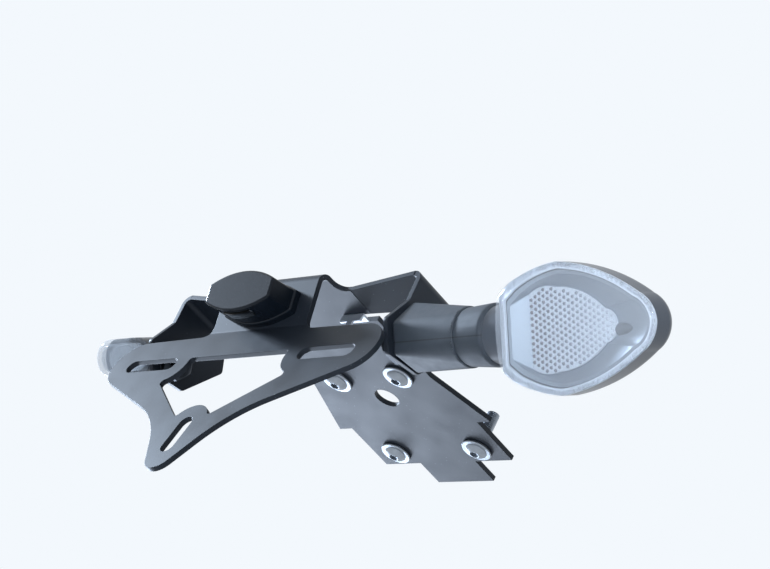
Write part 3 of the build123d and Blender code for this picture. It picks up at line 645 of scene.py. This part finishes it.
# place with local Z along the row's X, on a lamp node's axis
def alongX(node, x):
    low, high = boxMm(node)
    spot = Matrix.Translation((x, (low.y + high.y) / 2, (low.z + high.z) / 2))
    return spot @ Matrix.Rotation(math.pi / 2, 4, "Y")


# a ring whose outer points are drawn in to a hexagon, with the corners chamfered
def hexNut(shape, node, hole):
    low, high = boxMm(node)
    thick = high.x - low.x
    outer = lampNut["flats"] * lampNut["corner"]
    face = lampNut["flats"] * lampNut["crown"]
    lead = lampNut["lead"]
    profile = [(hole + lead, 0), (hole, lead), (hole, thick - lead), (hole + lead, thick), (face, thick),
               (outer, thick), (outer, 0), (face, 0)]
    made = spinProfile(shape, profile, Matrix())
    for v in made:
        if math.hypot(v.co.x, v.co.y) > (face + outer) / 2:
            turn = math.atan2(v.co.y, v.co.x)
            reach = hexReach(lampNut["flats"], turn)
            fall = (reach - face) * lampNut["slope"]
            v.co = (reach * math.cos(turn), reach * math.sin(turn), abs(v.co.z - fall))
    bmesh.ops.transform(shape, matrix=alongX(node, low.x), verts=made)


def lampFixing(side):
    stemLow, stemHigh = boxMm(side + "_lamp_stem")
    stemR = (stemHigh.y - stemLow.y) / 2
    discLow, discHigh = boxMm(side + "_lamp_washer")
    discR = (discHigh.y - discLow.y) / 2
    shape = bmesh.new()
    hexNut(shape, side + "_lamp_nut", stemR + lampNut["room"])
    washerRing(shape, stemR + washer["lampRoom"], discR, discHigh.x - discLow.x,
               alongX(side + "_lamp_washer", discLow.x))
    return shape


for side in ("right", "left"):
    addPiece(side + "LampNut", lampFixing(side), blackZinc,
             [side + "_lamp_nut", side + "_lamp_washer"])
print("stage 4: fasteners")

# rubber foot and sleeve: moulded, with soft corners
footEdge = {"radius": 0.7, "segments": 3, "sharpOver": 25}
addPiece("rubberFoot", softenedCopy("right_lamp_base", footEdge), blackRubber, ["right_lamp_base"])
sleeveEdge = {"radius": 0.5, "segments": 3, "sharpOver": 35}
addPiece("rubberSleeve", softenedCopy("right_lamp_sleeve", sleeveEdge), blackRubber,
         ["right_lamp_sleeve"])

# sheet metal lead clips with deburred edges
clipEdge = {"radius": 0.18, "segments": 2, "sharpOver": 35}
addPiece("leadClips", softenedCopy("lead_clips", clipEdge), tumbledZinc, ["lead_clips"])

# prism pips: hexagonal studs moulded on the rear face of the prism plate, in the lamp's level frame. An
# outline side shorter than least has no sure direction, so it is passed over
pips = {"pitch": 2.0, "wide": 0.68, "tip": 0.34, "high": 0.5, "margin": 0.72, "least": 0.01, "sides": 6}


# outline of the prism plate, anticlockwise, as (along, across), and the place of its rear face
def plateOutline():
    toLamp = lampTurn.inverted()
    spots = [toLamp @ (v.co / mm) for v in cadNodes["right_lamp_optic"].data.vertices]
    flat = [spot.xz for spot in spots]
    outline = [flat[i] for i in convex_hull_2d(flat)]
    turns = sum(a.cross(b) for a, b in zip(outline, outline[1:] + outline[:1]))
    return (outline if turns > 0 else outline[::-1]), min(spot.y for spot in spots)


def liesInside(spot, outline):
    sides = [(a, b - a) for a, b in zip(outline, outline[1:] + outline[:1])]
    return all(side.cross(spot - a) / side.length > pips["margin"]
               for a, side in sides if side.length > pips["least"])


def prismPips():
    outline, rear = plateOutline()
    column = pips["pitch"] * math.sqrt(3) / 2
    start = min(spot.x for spot in outline) + pips["margin"] + pips["least"]
    count = int((max(spot.x for spot in outline) - start) / column)
    rows = int(max(spot.y for spot in outline) / pips["pitch"]) + 1
    rearward = Matrix.Rotation(math.pi / 2, 4, "X")
    shape = bmesh.new()
    for i in range(count + 1):
        for j in range(-rows, rows + 1):
            spot = Vector((start + i * column, (j + 0.5 * (i % 2)) * pips["pitch"]))
            if liesInside(spot, outline):
                place = Matrix.Translation((spot.x, rear - pips["high"] / 2, spot.y)) @ rearward
                bmesh.ops.create_cone(shape, cap_ends=True, cap_tris=False, segments=pips["sides"],
                                      radius1=pips["wide"], radius2=pips["tip"], depth=pips["high"],
                                      matrix=place)
    bmesh.ops.transform(shape, matrix=lampTurn, verts=shape.verts)
    return shape


addPiece("prismPips", prismPips(), prismPaintedShade())

# moulded rib on the dish's tip slope: a bullet that lies along the lamp, half sunk in the dish. Its profile
# is in shares of radius and length
rib = {"start": 158.6, "rear": -4.0, "drop": -1.6, "length": 12.5, "rise": 3.2, "radius": 2.2, "tip": 0.35,
       "profile": ((0.7, 0.0), (1.0, 0.12), (0.92, 0.5)), "steps": 16}


def dishRib():
    lean = math.atan2(rib["rise"], rib["length"])
    body = [(rib["radius"] * r, rib["length"] * z) for r, z in rib["profile"]]
    profile = [(0, 0)] + body + [(rib["tip"], rib["length"]), (0, rib["length"])]
    place = (Matrix.Translation((rib["start"], rib["rear"], rib["drop"]))
             @ Matrix.Rotation(-lean, 4, "Z") @ Matrix.Rotation(math.pi / 2, 4, "Y"))
    shape = bmesh.new()
    made = spinProfile(shape, profile, place, rib["steps"], closed=False)
    bmesh.ops.transform(shape, matrix=lampTurn, verts=made)
    return shape


addPiece("dishRib", dishRib(), grainedPlastic(plastic["rib"]))

print("stage 5: pieces in place")
